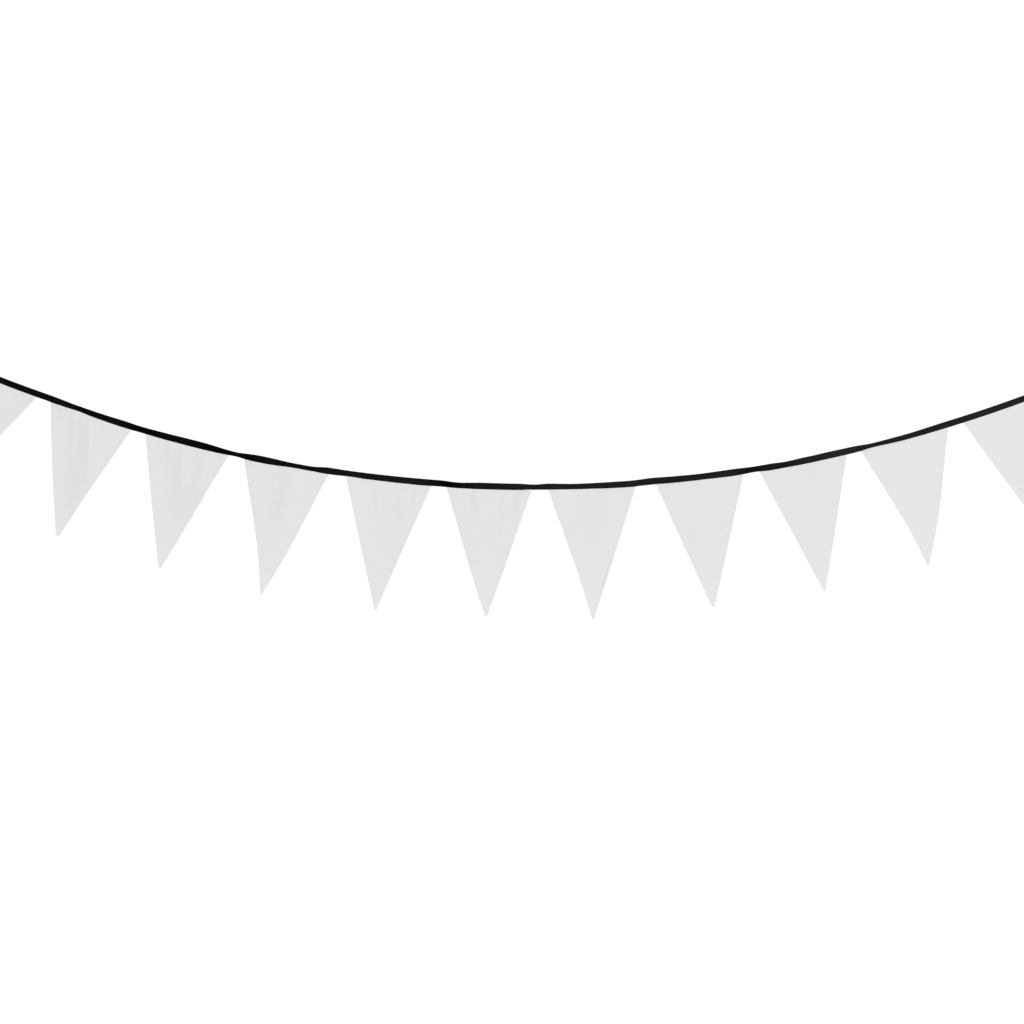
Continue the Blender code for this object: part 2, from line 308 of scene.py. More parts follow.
# Finer creases: each runs straight on the cloth from (at, top) to (foot, end), as shares across and down.
# half is its half width and rise how far it stands forward, in mm. One that starts above 0 comes out of the
# tape, and CREASE_TOP is how far below the tape it reaches its strength.
CREASE_TOP = 10 * MM
CREASES = (
    Fold(2, 0.13, 0.155, -0.10, 0.14, 7, 0.7),
    Fold(2, 0.31, 0.36, 0.04, 0.36, 14, 1.0),
    Fold(2, 0.433, 0.86, -0.12, 0.50, 8, 0.8),
    Fold(3, 0.86, 0.93, -0.06, 0.22, 10, 1.3),
    Fold(4, 0.00, 0.00, -0.10, 0.20, 34, 2.6),
    Fold(4, 1.00, 1.00, -0.10, 0.40, 34, 1.6),
    Fold(6, 1.00, 1.00, -0.10, 0.20, 22, -1.6),
    Fold(7, 0.93, 0.80, 0.56, 0.70, 6, -0.5),
    Fold(10, 0.00, 0.00, -0.10, 0.25, 34, 3.4),
    Fold(10, 0.18, 0.62, 0.22, 0.12, 8, 0.6),
    Fold(11, 0.00, 0.00, -0.10, 0.20, 34, 1.6),
)


def ease(share):
    """0 to 1 with a level start and end."""
    share = min(max(share, 0), 1)
    return share * share * (3 - 2 * share)


def hump(share):
    """1 at 0, falling smoothly to 0 at -1 and 1."""
    return ease(1 - abs(share))


def tape_at(along):
    """The tape's turn in radians, width and dip at a length of tape from the left end."""
    place = along / MM
    before = sum(bend.place <= place for bend in TAPE[:-1]) - 1
    left, right = TAPE[before], TAPE[before + 1]
    share = ease((place - left.place) / (right.place - left.place))
    turn, width, dip = (a + (b - a) * share for a, b in zip(left[1:], right[1:]))
    return math.radians(turn), width * MM, dip * MM


def curve_point(along):
    """The point of the catenary at a length of tape from the left end, and the tape's direction there."""
    from_low = along - LOW_POINT
    slope_length = math.hypot(SAG_RADIUS, from_low)
    x = SAG_RADIUS * (math.asinh(from_low / SAG_RADIUS) + math.asinh(LOW_POINT / SAG_RADIUS))
    z = slope_length - math.hypot(SAG_RADIUS, LOW_POINT)
    return Vector((x, 0, z)), Vector((SAG_RADIUS, 0, from_low)) / slope_length


def tape_frame(along):
    """The tape's centre, the directions down its width and out of its back, and its width."""
    centre, direction = curve_point(along)
    turn, width, dip = tape_at(along)
    square = Vector((direction.z, 0, -direction.x))
    down = math.cos(turn) * square + math.sin(turn) * FRONT_TO_BACK
    return centre + dip * square, down, direction.cross(down), width


def wobble(seed, *place):
    """Smooth noise from about -1 to 1 at a place given in steps of its spacing."""
    x, y = (*place, 0)[:2]
    return noise.noise(Vector((x, y, seed * SEED_STEP)))


def fold_rise(number, across, share, width):
    """How far the main folds of a pennant stand forward at a share across it and a share down it."""
    total = 0
    for fold in FOLDS:
        if fold.pennant != number or not fold.top <= share <= fold.end:
            continue
        length = (share - fold.top) / (fold.end - fold.top)
        middle = fold.at + (fold.foot - fold.at) * length
        strength = ease(length / FADE_IN) * ease((1 - length) / FADE_OUT)
        sideways = (across - middle) * width * (1 - share)
        total += fold.rise * strength * hump(sideways / fold.half)
    return total * MM


def flat_place(row, across, share):
    """A place on a pennant's flat cloth, in mm right of and below the middle of its head."""
    sideways = (across - 0.5) * (row.width * (1 - share) + row.point * share)
    return Vector((sideways + row.lean * share, row.drop * share))


def crease_rise(number, row, across, share):
    """How far the finer creases of a pennant stand forward."""
    total = 0
    here = flat_place(row, across, share)
    for crease in CREASES:
        if crease.pennant != number:
            continue
        start = flat_place(row, crease.at, crease.top)
        run = flat_place(row, crease.foot, crease.end) - start
        length = (here - start).dot(run) / run.length_squared
        if 0 < length < 1:
            aside = (here - start - length * run).length
            strength = ease(length / FADE_OUT) * ease((1 - length) / FADE_OUT)
            total += crease.rise * strength * hump(aside / crease.half)
    return total * MM


def unevenness(number, row, across, share):
    """The soft unevenness of pressed cloth, and the puckers that the stitches draw up below the tape."""
    here = flat_place(row, across, share) * MM
    broad = BROAD_RISE * wobble(number, *(here / BROAD_SPACING))
    fine = FINE_RISE * wobble(number, *(here / FINE_SPACING))
    down = here.y / (PUCKER_STRETCH * PUCKER_SPACING)
    pucker = PUCKER_RISE * wobble(number, here.x / PUCKER_SPACING, down)
    return (broad + fine) * ease(here.y / PUCKER_REACH) + pucker * math.exp(-here.y / PUCKER_REACH)


def bulge(share):
    """How much of its swell and its bow a pennant has at a share down it."""
    return math.sin(math.pi * share**SWELL_POWER)


def spread_at(row, share):
    """How far each side of a pennant lies out from a sharp triangle's, in mm, at a share down it."""
    return row.point / 2 * share + row.swell * bulge(share)


def tip_rounding(row, below):
    """How much of its width a pennant keeps on the way to the rounded end of its point."""
    left = (row.drop * MM - below) / TIP_ROUND
    return max(TIP_LEAST, math.sqrt(max(0, 1 - max(0, 1 - left) ** 2)))


def pennant_point(number, row, across, below):
    """A point of a pennant's middle surface at a share across it and a length below the tape."""
    centre, down, _, tape_width = tape_frame((row.start + row.width * across) * MM)
    exit_point = centre + tape_width / 2 * down
    if below <= 0:
        return exit_point + below * down
    share = below / (row.drop * MM)
    halfway = (row.start + row.width / 2) * MM
    middle, direction = curve_point(halfway)
    square = Vector((direction.z, 0, -direction.x))
    reach = row.drop * MM + tape_at(halfway)[1] / 2
    point = middle + reach * square + row.lean * MM * direction
    side = 2 * across - 1
    sideways = side * spread_at(row, share) * tip_rounding(row, below) + row.bow * bulge(share)
    place_down = below / EDGE_SPACING
    edge = EDGE_RISE * side**2 * wobble(number + SIDE_SEED, place_down, side) * ease(place_down)
    flat_exit = Vector((exit_point.x, 0, exit_point.z))
    place = flat_exit.lerp(point, share) + (sideways * MM + edge) * direction
    turned = (tape_width / 2 + below) * down.y * math.exp(-below / TURN_REACH)
    swing = row.swing * MM * ease(share)
    forward = swing + fold_rise(number, across, share, row.width)
    forward += crease_rise(number, row, across, share) * ease(below / CREASE_TOP)
    forward += unevenness(number, row, across, share) * ease(below / TOP_STEP)
    return place + (turned - forward) * FRONT_TO_BACK


def rounding(inward):
    """How much of its thickness a cloth has at a distance in from its rounded edge."""
    return math.sqrt(max(0, 1 - max(0, 1 - inward / EDGE_ROUND) ** 2))


def half_thickness(inward, from_ends):
    """Half a pennant's thickness, from the distances to its nearest side and to its head or point."""
    seam = SEAM_EXTRA * (1 - ease((inward - SEAM_WIDTH) / SEAM_STEP))
    return (HALF_CLOTH + seam) * rounding(inward) * rounding(from_ends)


def side_columns(width):
    """Distances of a pennant's columns from its left side, for a row of this width."""
    reach = EDGE_STEPS[-1] * MM
    tight = min(1, width / 2 / reach * SIDE_SHARE)
    left = [step * MM * tight for step in EDGE_STEPS]
    free = width - 2 * left[-1]
    middle = [left[-1] + free * step / MIDDLE_COLUMNS for step in range(1, MIDDLE_COLUMNS)]
    return left + middle + [width - step for step in reversed(left)]


def pennant_rows(row):
    """Lengths below the tape of a pennant's rows, negative inside the tape."""
    drop = row.drop * MM
    rounded = [step * MM for step in EDGE_STEPS[:ROUNDED_STEPS]]
    rows = [step - HEAD for step in rounded] + [-HEAD / 2, 0]
    fine = round(TOP_REACH / TOP_STEP)
    rows += [TOP_STEP * step for step in range(1, fine)]
    coarse = round((drop - rounded[-1] - TOP_REACH) / LOW_STEP)
    span = drop - rounded[-1] - TOP_REACH
    rows += [TOP_REACH + span * step / coarse for step in range(coarse)]
    return rows + [drop - step for step in reversed(rounded)]


def mesh_piece(name, points, faces, uv, material):
    """A smooth closed piece with its own map of flat places in metres, its faces turned outwards."""
    mesh = bpy.data.meshes.new(name)
    mesh.from_pydata(points, [], faces)
    layer = mesh.uv_layers.new(name="cloth")
    for loop in mesh.loops:
        layer.data[loop.index].uv = uv[loop.vertex_index]
    shell = bmesh.new()
    shell.from_mesh(mesh)
    bmesh.ops.recalc_face_normals(shell, faces=shell.faces)
    shell.to_mesh(mesh)
    shell.free()
    mesh.shade_smooth()
    mesh.materials.append(material)
    made = bpy.data.objects.new(name, mesh)
    bpy.context.scene.collection.objects.link(made)
    return made


def build_pennant(number, row, material):
    """One pennant as a closed sheet: a front and a back that meet in the rounded edge."""
    middle, flat, halves = [], [], []
    rows = pennant_rows(row)
    for below in rows:
        share = max(0, below / (row.drop * MM))
        width = (row.width * (1 - share) + 2 * spread_at(row, share)) * MM
        from_ends = min(below + HEAD, row.drop * MM - below)
        line, flat_line, half_line = [], [], []
        for place in side_columns(width):
            across = place / width
            line.append(pennant_point(number, row, across, below))
            flat_line.append(Vector(((across - 0.5) * width + row.lean * MM * share, below)))
            half_line.append(half_thickness(min(place, width - place), from_ends))
        middle.append(line)
        flat.append(flat_line)
        halves.append(half_line)
    count = len(middle[0])
    last = len(rows) - 1
    points, uv, front, back = [], [], {}, {}
    for r in range(last + 1):
        for c in range(count):
            along = middle[r][min(c + 1, count - 1)] - middle[r][max(c - 1, 0)]
            down = middle[min(r + 1, last)][c] - middle[max(r - 1, 0)][c]
            normal = along.cross(down).normalized()
            rim = r in (0, last) or c in (0, count - 1)
            for store, side in ((front, -1), (back, 1)):
                if rim and store is back:
                    back[r, c] = front[r, c]
                    continue
                store[r, c] = len(points)
                points.append(middle[r][c] + side * halves[r][c] * normal * (not rim))
                uv.append(flat[r][c])
    faces = []
    for r in range(last):
        for c in range(count - 1):
            for store in (front, back):
                faces.append([store[r, c], store[r, c + 1], store[r + 1, c + 1], store[r + 1, c]])
    return mesh_piece(f"pennant_{number:02d}_cloth", points, faces, uv, material)


def spans():
    """The first and last length of tape that each pennant's head takes."""
    return [(row.start * MM, (row.start + row.width) * MM) for row in PENNANTS]


def layer_offset(along):
    """How far each layer of the tape lies from the middle of the fold: more where a head is between them."""
    closed = (LAYER + LAYER_GAP) / 2
    opened = LAYER / 2 + LAYER_GAP + HALF_CLOTH + SEAM_EXTRA
    away = min(max(first - along, along - last, 0) for first, last in spans())
    return closed + (opened - closed) * (1 - ease(away / PARTING))


def tape_edge(along):
    """How far the tape's lower edges lie from the middle of its width."""
    turn, width, _ = tape_at(along)
    return (width + (SPREAD + TURNED_SPREAD * abs(math.sin(turn))) / math.cos(turn)) / 2


def tape_layer(edge, offset):
    """The outer and inner line of the tape's section, from the front's lower edge to the back's.

    Each point is how far down the width it lies and how far back.
    """
    half = LAYER / 2
    outer, inner = [], []
    for height in LAYER_STEPS:
        up = height * MM
        hem = HEM_EXTRA * (1 - ease((up - HEM_WIDTH) / HEM_STEP))
        groove = GROOVE_DEPTH * hump((up - STITCH_HEIGHT) / GROOVE_HALF)
        thick = half * rounding(up * TAPE_SHARPNESS)
        outer.append((edge - up, -(offset + (thick + (hem - groove) * rounding(up)))))
        inner.append((edge - up, -(offset - thick)))
    centre = -edge + offset + half
    for step in range(CREST_STEPS + 1):
        angle = math.pi * step / CREST_STEPS
        sine, cosine = math.sin(angle), math.cos(angle)
        outer.append((centre - (offset + half) * sine, -(offset + half) * cosine))
        inner.append((centre - (offset - half) * sine, -(offset - half) * cosine))
    straight = len(LAYER_STEPS)
    outer += [(drop, -side) for drop, side in reversed(outer[:straight])]
    inner += [(drop, -side) for drop, side in reversed(inner[:straight])]
    return outer, inner


def tape_surface(along, section_point, offset):
    """A point of the tape from a point of its section, with the tape's unevenness."""
    centre, down, back, _ = tape_frame(along)
    drop, side = section_point
    behind = side > 0
    sway = TAPE_RISE * wobble(SWAY_SEED, along / TAPE_SPACING)
    layer = LAYER_RISE * TAPE_RISE * wobble(LAYER_SEED + behind, along / TAPE_SPACING, drop / TAPE_SPACING)
    ripple = EDGE_RISE * wobble(RIPPLE_SEED + behind, along / EDGE_SPACING) * ease(drop / RIPPLE_REACH)
    free = 1 - ease((offset - LAYER / 2) / (HALF_CLOTH / 2))
    return centre + (drop + ripple) * down + (side + sway + layer * free) * back


def build_tape(material):
    """The folded tape as one closed strip, its section swept along the sagging line."""
    count = round(TAPE_LENGTH / SECTION_STEP)
    points, uv, faces = [], [], []
    for station in range(count + 1):
        along = TAPE_LENGTH * station / count
        offset = layer_offset(along)
        edge = tape_edge(along)
        outer, inner = tape_layer(edge, offset)
        loop = outer + inner[-2:0:-1]
        half_loop = len(outer) - 1
        for index, section_point in enumerate(loop):
            points.append(tape_surface(along, section_point, offset))
            place = min(index, 2 * half_loop - index)
            drop = section_point[0]
            uv.append(Vector((along, math.copysign(edge - drop, place - half_loop / 2))))
    ring = len(loop)
    for station in range(count):
        for index in range(ring):
            a, b = station * ring + index, station * ring + (index + 1) % ring
            faces.append([a, b, b + ring, a + ring])
    for base in (0, count * ring):
        faces.append([base, base + 1, base + ring - 1])
        for index in range(1, half_loop - 1):
            faces.append([base + index, base + index + 1, base + ring - index - 1, base + ring - index])
        faces.append([base + half_loop - 1, base + half_loop, base + half_loop + 1])
    made = mesh_piece("folded_tape", points, faces, uv, material)
    for face in made.data.polygons[count * ring:]:
        face.use_smooth = False
    return made


def stitch_tree(material):
    """Geometry Nodes: a short arched thread at each point of a line, lying along it and facing out."""
    tree = bpy.data.node_groups.new("stitches along a line", "GeometryNodeTree")
    face = tree.interface
    face.new_socket("Line", in_out="INPUT", socket_type="NodeSocketGeometry")
    for name in ("Stitch length", "Thread", "Arch"):
        face.new_socket(name, in_out="INPUT", socket_type="NodeSocketFloat")
    face.new_socket("Seed", in_out="INPUT", socket_type="NodeSocketInt")
    face.new_socket("Stitches", in_out="OUTPUT", socket_type="NodeSocketGeometry")
    node, link = tree.nodes.new, tree.links.new
    group_in = node("NodeGroupInput")
    group_out = node("NodeGroupOutput")

    def position(name_x, sign, name_z):
        half = node("ShaderNodeMath")
        half.operation = "MULTIPLY"
        half.inputs[1].default_value = sign / 2
        link(group_in.outputs[name_x], half.inputs[0])
        place = node("ShaderNodeCombineXYZ")
        link(half.outputs[0], place.inputs["X"])
        if name_z:
            link(group_in.outputs[name_z], place.inputs["Z"])
        return place.outputs[0]

    arc = node("GeometryNodeCurveQuadraticBezier")
    arc.inputs["Resolution"].default_value = ARC_STEPS
    link(position("Stitch length", -1, None), arc.inputs["Start"])
    link(position("Stitch length", 0, "Arch"), arc.inputs["Middle"])
    link(position("Stitch length", 1, None), arc.inputs["End"])
    section = node("GeometryNodeCurvePrimitiveCircle")
    section.inputs["Resolution"].default_value = THREAD_SIDES
    radius = node("ShaderNodeMath")
    radius.operation = "MULTIPLY"
    radius.inputs[1].default_value = 0.5
    link(group_in.outputs["Thread"], radius.inputs[0])
    link(radius.outputs[0], section.inputs["Radius"])
    thread = node("GeometryNodeCurveToMesh")
    thread.inputs["Fill Caps"].default_value = True
    link(arc.outputs["Curve"], thread.inputs["Curve"])
    link(section.outputs["Curve"], thread.inputs["Profile Curve"])

    def stored(name):
        read = node("GeometryNodeInputNamedAttribute")
        read.data_type = "FLOAT_VECTOR"
        read.inputs["Name"].default_value = name
        return read.outputs["Attribute"]

    along = node("FunctionNodeAlignRotationToVector")
    along.axis = "X"
    link(stored("run"), along.inputs["Vector"])
    facing = node("FunctionNodeAlignRotationToVector")
    facing.axis = "Z"
    facing.pivot_axis = "X"
    link(along.outputs["Rotation"], facing.inputs["Rotation"])
    link(stored("facing"), facing.inputs["Vector"])
    scale = node("FunctionNodeRandomValue")
    scale.data_type = "FLOAT_VECTOR"
    scale.inputs["Min"].default_value = STITCH_LEAST
    scale.inputs["Max"].default_value = STITCH_MOST
    link(group_in.outputs["Seed"], scale.inputs["Seed"])
    place = node("GeometryNodeInstanceOnPoints")
    link(group_in.outputs["Line"], place.inputs["Points"])
    link(thread.outputs["Mesh"], place.inputs["Instance"])
    link(facing.outputs["Rotation"], place.inputs["Rotation"])
    link(scale.outputs["Value"], place.inputs["Scale"])
    real = node("GeometryNodeRealizeInstances")
    finish = node("GeometryNodeSetMaterial")
    finish.inputs["Material"].default_value = material
    link(place.outputs["Instances"], real.inputs["Geometry"])
    link(real.outputs["Geometry"], finish.inputs["Geometry"])
    link(finish.outputs["Geometry"], group_out.inputs["Stitches"])
    return tree


def build_stitches(material):
    """A row of stitches on each face of the tape, a little above its lower edge."""
    count = math.floor(TAPE_LENGTH / STITCH_PITCH)
    points, runs, faces_out = [], [], []
    for side in (-1, 1):
        for stitch in range(count):
            along = (stitch + 0.5) * STITCH_PITCH
            offset = layer_offset(along)
            back = tape_frame(along)[2]
            surface = offset + LAYER / 2 + HEM_EXTRA - GROOVE_DEPTH
            section_point = (tape_edge(along) - STITCH_HEIGHT, side * surface)
            points.append(tape_surface(along, section_point, offset))
            _, run = curve_point(along)
            runs.append(run)
            faces_out.append(side * back)
    mesh = bpy.data.meshes.new("stitch line")
    mesh.from_pydata(points, [], [])
    for name, vectors in (("run", runs), ("facing", faces_out)):
        store = mesh.attributes.new(name, "FLOAT_VECTOR", "POINT")
        store.data.foreach_set("vector", [number for vector in vectors for number in vector])
    line = bpy.data.objects.new("stitch line", mesh)
    bpy.context.scene.collection.objects.link(line)
    modifier = line.modifiers.new("Stitches", "NODES")
    modifier.node_group = stitch_tree(material)
    sizes = {"Stitch length": STITCH_LENGTH, "Thread": THREAD, "Arch": STITCH_ARCH, "Seed": STITCH_SEED}
    for item in modifier.node_group.interface.items_tree:
        if item.name in sizes:
            modifier[item.identifier] = sizes[item.name]
    evaluated = line.evaluated_get(bpy.context.evaluated_depsgraph_get())
    stitches = bpy.data.meshes.new_from_object(evaluated)
    bpy.data.objects.remove(line)
    for name in ("run", "facing"):
        if name in stitches.attributes:
            stitches.attributes.remove(stitches.attributes[name])
    stitches.shade_smooth()
    made = bpy.data.objects.new("tape_stitches", stitches)
    bpy.context.scene.collection.objects.link(made)
    return made


class Graph:
    """Short ways to add and join the nodes of a material or a shared effect."""

    def __init__(self, tree):
        self.tree = tree

    def add(self, kind, **settings):
        node = self.tree.nodes.new(kind)
        for name, value in settings.items():
            setattr(node, name, value)
        return node

    def put(self, value, socket):
        if isinstance(value, bpy.types.NodeSocket):
            self.tree.links.new(value, socket)
        else:
            socket.default_value = value

    def math(self, operation, *values):
        node = self.add("ShaderNodeMath", operation=operation)
        for value, socket in zip(values, node.inputs):
            self.put(value, socket)
        return node.outputs[0]

    def noise(self, vector, scale, detail=2.0, roughness=0.5):
        node = self.add("ShaderNodeTexNoise")
        self.put(vector, node.inputs["Vector"])
        self.put(scale, node.inputs["Scale"])
        self.put(detail, node.inputs["Detail"])
        self.put(roughness, node.inputs["Roughness"])
        return node.outputs["Fac"]

    def blend(self, share, first, second):
        node = self.add("ShaderNodeMix", data_type="RGBA")
        self.put(share, node.inputs["Factor"])
        self.put(first, node.inputs["A"])
        self.put(second, node.inputs["B"])
        return node.outputs["Result"]

    def spread(self, value, low, high, to_low, to_high):
        node = self.add("ShaderNodeMapRange")
        for number, socket in zip((value, low, high, to_low, to_high), node.inputs):
            self.put(number, socket)
        return node.outputs[0]


def plain_weave():
    """Shared effect: over-and-under threads from a flat place in metres.

    Height is 0 between the threads and 1 on top of them, and Tone differs from thread to thread.
    """
    tree = bpy.data.node_groups.new("plain weave", "ShaderNodeTree")
    face = tree.interface
    face.new_socket("Place", in_out="INPUT", socket_type="NodeSocketVector")
    for name in ("Threads per metre", "Angle", "Waver"):
        face.new_socket(name, in_out="INPUT", socket_type="NodeSocketFloat")
    for name in ("Height", "Tone"):
        face.new_socket(name, in_out="OUTPUT", socket_type="NodeSocketFloat")
    graph = Graph(tree)
    group_in = graph.add("NodeGroupInput")
    group_out = graph.add("NodeGroupOutput")
    turn = graph.add("ShaderNodeVectorRotate", rotation_type="Z_AXIS")
    graph.put(group_in.outputs["Place"], turn.inputs["Vector"])
    graph.put(group_in.outputs["Angle"], turn.inputs["Angle"])
    threads = graph.add("ShaderNodeVectorMath", operation="SCALE")
    graph.put(turn.outputs[0], threads.inputs[0])
    graph.put(group_in.outputs["Threads per metre"], threads.inputs["Scale"])
    split = graph.add("ShaderNodeSeparateXYZ")
    graph.put(threads.outputs[0], split.inputs[0])
    drift = graph.noise(threads.outputs[0], WAVER_SCALE, 3.0)
    drift = graph.math("MULTIPLY", graph.math("SUBTRACT", drift, 0.5), group_in.outputs["Waver"])
    across = graph.math("ADD", split.outputs["X"], drift)
    down = graph.math("ADD", split.outputs["Y"], drift)
    profiles = []
    for place in (across, down):
        middle = graph.math("SUBTRACT", graph.math("FRACT", place), 0.5)
        squared = graph.math("MULTIPLY", graph.math("MULTIPLY", middle, middle), 4.0)
        profiles.append(graph.math("SUBTRACT", 1.0, squared))
    cells = graph.math("ADD", graph.math("FLOOR", across), graph.math("FLOOR", down))
    over = graph.math("FLOORED_MODULO", cells, 2.0)
    warp = graph.math("MULTIPLY", profiles[0], graph.spread(profiles[1], 0.0, 1.0, COVERED, 1.0))
    weft = graph.math("MULTIPLY", profiles[1], graph.spread(profiles[0], 0.0, 1.0, COVERED, 1.0))
    mix = graph.add("ShaderNodeMix", data_type="FLOAT")
    graph.put(over, mix.inputs["Factor"])
    graph.put(warp, mix.inputs["A"])
    graph.put(weft, mix.inputs["B"])
    graph.put(mix.outputs["Result"], group_out.inputs["Height"])
    tones = []
    for place, length in ((across, down), (down, across)):
        strand = graph.add("ShaderNodeCombineXYZ")
        graph.put(graph.math("FLOOR", place), strand.inputs["X"])
        graph.put(graph.math("MULTIPLY", length, STRAND_LENGTH), strand.inputs["Y"])
        tones.append(graph.noise(strand.outputs[0], STRAND_SCALE, 1.0))
    both = graph.math("MULTIPLY", graph.math("ADD", *tones), 0.5)
    graph.put(both, group_out.inputs["Tone"])
    return tree


def new_material(name):
    """An empty material with its Principled shader, and the graph to build it with."""
    material = bpy.data.materials.new(name)
    material.use_nodes = True
    return material, Graph(material.node_tree), material.node_tree.nodes["Principled BSDF"]


def woven(graph, weave, threads, angle, waver):
    """The shared weave on a piece's own flat places, and those places."""
    places = graph.add("ShaderNodeUVMap", uv_map="cloth")
    effect = graph.add("ShaderNodeGroup", node_tree=weave)
    graph.put(places.outputs[0], effect.inputs["Place"])
    graph.put(threads, effect.inputs["Threads per metre"])
    graph.put(angle, effect.inputs["Angle"])
    graph.put(waver, effect.inputs["Waver"])
    return effect, places.outputs[0]


def bump(graph, shader, height, distance, strength=1.0):
    """Gives a shader its relief: height 0 to 1 stands for a distance in metres."""
    node = graph.add("ShaderNodeBump")
    graph.put(height, node.inputs["Height"])
    graph.put(distance, node.inputs["Distance"])
    graph.put(strength, node.inputs["Strength"])
    graph.put(node.outputs[0], shader.inputs["Normal"])


def white_cotton(weave):
    """Pressed white cotton: matt, with fine plain weave, slightly uneven threads and a soft mottle.

    It is painted a little paler towards the point, as painted light from below, and painted shade darkens
    the gaps between its threads.
    """
    material, graph, shader = new_material("white cotton")
    effect, places = woven(graph, weave, COTTON_THREADS, 0.0, COTTON_WAVER)
    mottle = graph.math("MULTIPLY", graph.noise(places, MOTTLE_SCALE, 4.0, 0.55), 0.5)
    tone = graph.math("ADD", graph.math("MULTIPLY", effect.outputs["Tone"], 0.5), mottle)
    threads = graph.blend(graph.spread(tone, 0.3, 0.7, 0.0, 1.0), DULL_WHITE, CLEAN_WHITE)
    split = graph.add("ShaderNodeSeparateXYZ")
    graph.put(places, split.inputs[0])
    # painted light from below: the cloth grows paler towards the point
    pale = graph.spread(split.outputs["Y"], *PAINTED_LIGHT_BELOW, 0.0, 1.0)
    threads = graph.blend(pale, threads, PAINTED_LIGHT_WHITE)
    # painted shade: darker where the weave is low, between the threads
    between = graph.spread(effect.outputs["Height"], 0.0, 0.5, 0.12, 0.0)
    colour = graph.blend(between, threads, WEAVE_SHADE_WHITE)
    graph.put(colour, shader.inputs["Base Color"])
    graph.put(graph.spread(effect.outputs["Height"], 0.0, 1.0, 0.95, 0.86), shader.inputs["Roughness"])
    shader.inputs["Specular IOR Level"].default_value = 0.25
    shader.inputs["Sheen Weight"].default_value = 0.08
    shader.inputs["Sheen Roughness"].default_value = 0.5
    bump(graph, shader, effect.outputs["Height"], COTTON_RELIEF, 0.6)
    return material


def black_cotton(weave):
    """Black binding, cut on the bias: its weave runs slantwise, and its folds are a little worn.

    A painted sheen of the light from the right makes its black a little lighter, unevenly, most of all
    towards the right end, and painted shade lies on stretches that turn away from that light.
    """
    material, graph, shader = new_material("black binding")
    effect, places = woven(graph, weave, TAPE_THREADS, TAPE_SLANT, TAPE_WAVER)
    split = graph.add("ShaderNodeSeparateXYZ")
    graph.put(places, split.inputs[0])
    height = graph.math("ABSOLUTE", split.outputs["Y"])
    crest = graph.spread(height, *CREST_WORN, 0.0, 1.0)
    edge = graph.spread(height, 0.0, EDGE_WORN, 1.0, 0.0)
    patches = graph.spread(graph.noise(places, WEAR_SCALE, 3.0), 0.45, 0.7, 0.1, 1.0)
    wear = graph.math("MULTIPLY", graph.math("MAXIMUM", crest, edge), patches)
    deep = graph.blend(effect.outputs["Tone"], *DEEP_BLACK)
    # painted sheen of the light from the right: the black grows lighter towards the right end
    sheen_black = graph.blend(effect.outputs["Tone"], *PAINTED_SHEEN_BLACK)
    uneven = graph.spread(graph.noise(places, SHEEN_SPOT_SCALE, 1.0), 0.35, 0.65, 0.85, 1.05)
    growing = graph.spread(split.outputs["X"], *SHEEN_GROWS, LEFT_SHEEN, FULL_SHEEN)
    amount = graph.math("MULTIPLY", growing, uneven)
    amount = graph.math("MULTIPLY", graph.spread(split.outputs["X"], *LAST_SHEEN_GROWS, 1.0, LAST_SHEEN), amount)
    # painted shade on the stretches where the tape turns away from the light
    for shaded_stretch in SHADED_STRETCHES:
        away = graph.math("ABSOLUTE", graph.math("SUBTRACT", split.outputs["X"], shaded_stretch.place * MM))
        amount = graph.math("MULTIPLY", amount, graph.spread(away, 0.0, shaded_stretch.half * MM, 1 - shaded_stretch.kept, 1.0))
    threads = graph.blend(amount, deep, sheen_black)
    worn = graph.blend(graph.math("MULTIPLY", wear, 0.5), threads, WORN_BLACK)
    graph.put(worn, shader.inputs["Base Color"])
    rough = graph.spread(effect.outputs["Height"], 0.0, 1.0, 0.48, 0.34)
    graph.put(rough, shader.inputs["Roughness"])
    shader.inputs["Specular IOR Level"].default_value = 0.018
    shader.inputs["Specular Tint"].default_value = (0.86, 0.88, 1.0, 1)
    shader.inputs["Sheen Weight"].default_value = 0.007
    shader.inputs["Sheen Roughness"].default_value = 0.45
    shader.inputs["Sheen Tint"].default_value = (0.80, 0.86, 1.0, 1)
    bump(graph, shader, effect.outputs["Height"], TAPE_RELIEF, 0.5)
    return material


def black_thread():
    """Black sewing thread: smoother than the tape, with its twist, and painted shade darkens the grooves of
    the twist.
    """
    material, graph, shader = new_material("black thread")
    places = graph.add("ShaderNodeTexCoord").outputs["Object"]
    twist = graph.add("ShaderNodeTexWave", bands_direction="DIAGONAL")
    graph.put(places, twist.inputs["Vector"])
    twist.inputs["Scale"].default_value = TWIST_SCALE
    twist.inputs["Distortion"].default_value = 1.0
    # painted shade: darker in the grooves of the twist
    graph.put(graph.blend(twist.outputs["Fac"], *THREAD_BLACK), shader.inputs["Base Color"])
    shader.inputs["Roughness"].default_value = 0.48
    shader.inputs["Specular IOR Level"].default_value = 0.2
    bump(graph, shader, twist.outputs["Fac"], TWIST_RELIEF, 0.6)
    return material


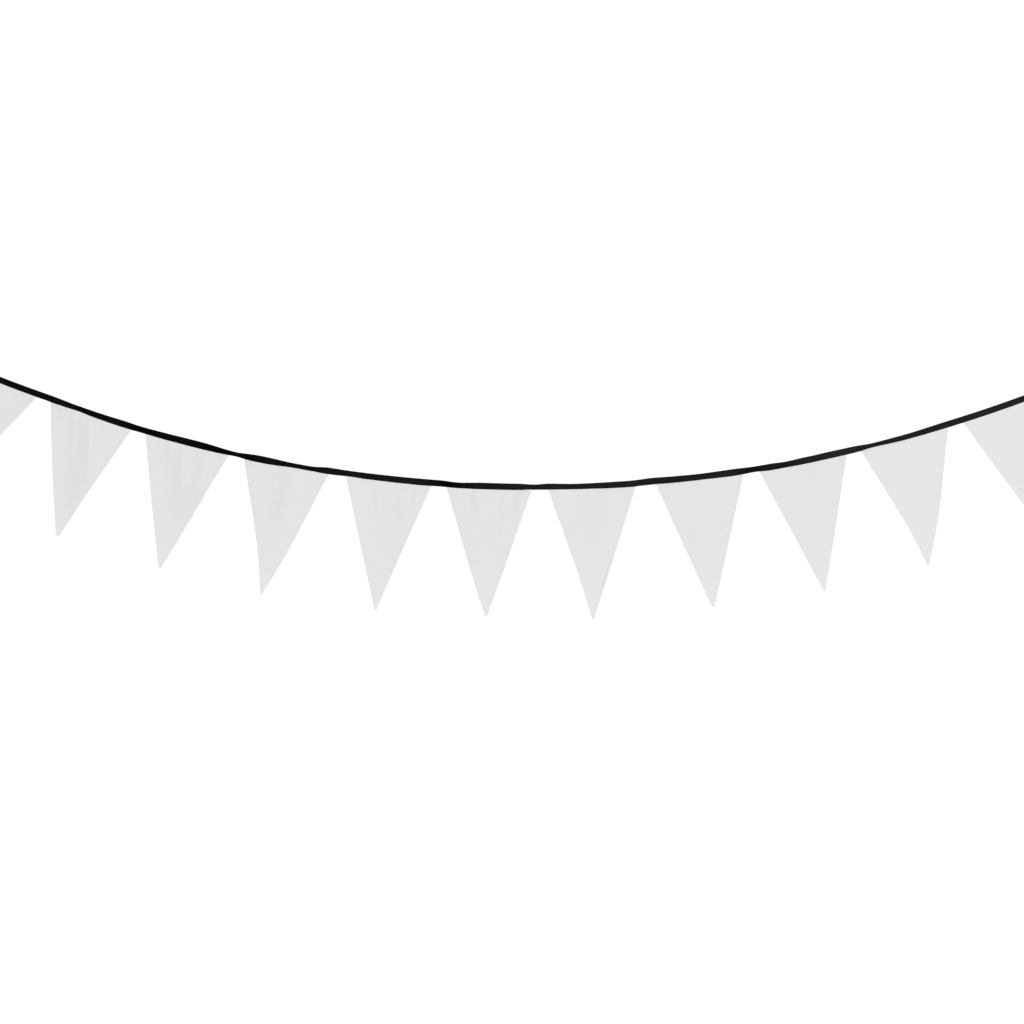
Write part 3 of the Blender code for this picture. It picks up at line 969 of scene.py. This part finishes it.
def floor_finish():
    """Plain pale floor that fades into the white surroundings away from the bunting."""
    material, graph, shader = new_material("pale floor")
    places = graph.add("ShaderNodeTexCoord").outputs["Object"]
    patches = graph.noise(places, FLOOR_SCALE, 3.0)
    graph.put(graph.blend(patches, *PALE_FLOOR), shader.inputs["Base Color"])
    shader.inputs["Roughness"].default_value = 0.85
    away = graph.add("ShaderNodeVectorMath", operation="DISTANCE")
    graph.put(places, away.inputs[0])
    graph.put((VIEW_CENTRE.x, 0, FLOOR_MIDDLE.z), away.inputs[1])
    amount = graph.spread(away.outputs["Value"], FLOOR_SEEN, FLOOR_LOST, 0.0, SEEN_WHITE)
    seen = graph.add("ShaderNodeLightPath").outputs["Is Camera Ray"]
    shader.inputs["Emission Color"].default_value = (1, 1, 1, 1)
    graph.put(graph.math("MULTIPLY", amount, seen), shader.inputs["Emission Strength"])
    return material


def build_lamp(lamp):
    """A round soft light that looks at the middle of the bunting."""
    shine = bpy.data.lights.new(lamp.name, "AREA")
    shine.shape = "DISK"
    shine.size = lamp.size
    shine.energy = lamp.power
    holder = bpy.data.objects.new(lamp.name, shine)
    holder.location = (lamp.x, lamp.y, lamp.z)
    holder.rotation_euler = (VIEW_CENTRE - holder.location).to_track_quat("-Z", "Y").to_euler()
    holder.visible_camera = False
    bpy.context.scene.collection.objects.link(holder)


def build_studio():
    """White surroundings, a soft main light from the front right, and a pale floor below the view."""
    scene = bpy.context.scene
    scene.view_settings.view_transform = "Standard"
    world = bpy.data.worlds.new("white surroundings")
    scene.world = world
    world.use_nodes = True
    graph = Graph(world.node_tree)
    seen = world.node_tree.nodes["Background"]
    seen.inputs["Color"].default_value = (1, 1, 1, 1)
    seen.inputs["Strength"].default_value = SEEN_WHITE
    around = graph.add("ShaderNodeBackground")
    around.inputs["Color"].default_value = (1, 1, 1, 1)
    around.inputs["Strength"].default_value = AMBIENT
    path = graph.add("ShaderNodeLightPath")
    mix = graph.add("ShaderNodeMixShader")
    graph.put(path.outputs["Is Camera Ray"], mix.inputs[0])
    graph.put(around.outputs[0], mix.inputs[1])
    graph.put(seen.outputs[0], mix.inputs[2])
    graph.put(mix.outputs[0], world.node_tree.nodes["World Output"].inputs["Surface"])
    for lamp in LAMPS:
        build_lamp(lamp)
    floor_mesh = bpy.data.meshes.new("floor")
    turns = [math.tau * step / FLOOR_SIDES for step in range(FLOOR_SIDES)]
    rim = [FLOOR_MIDDLE + FLOOR_RADIUS * Vector((math.cos(turn), math.sin(turn), 0)) for turn in turns]
    floor_mesh.from_pydata(rim, [], [range(FLOOR_SIDES)])
    floor_mesh.materials.append(floor_finish())
    floor = bpy.data.objects.new("floor", floor_mesh)
    scene.collection.objects.link(floor)


def build_camera():
    """A long lens, square to the bunting, as far away as keeps its sag and pennants undistorted."""
    camera = bpy.data.cameras.new("camera")
    camera.sensor_width = 36
    camera.lens = camera.sensor_width * VIEW_DISTANCE / VIEW_WIDTH
    camera.clip_end = 100
    holder = bpy.data.objects.new("camera", camera)
    holder.location = VIEW_CENTRE - VIEW_DISTANCE * FRONT_TO_BACK
    holder.rotation_euler = (math.radians(90), 0, 0)
    bpy.context.scene.collection.objects.link(holder)
    bpy.context.scene.camera = holder


def main():
    build_camera()
    build_studio()
    weave = plain_weave()
    binding = black_cotton(weave)
    tape = build_tape(binding)
    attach(tape, "root")
    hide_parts("binding_tape")
    stitches = build_stitches(black_thread())
    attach(stitches, "root")
    cotton = white_cotton(weave)
    for number, row in enumerate(PENNANTS, start=1):
        pennant = build_pennant(number, row, cotton)
        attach(pennant, "root")
        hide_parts(f"pennant_{number:02d}")


main()
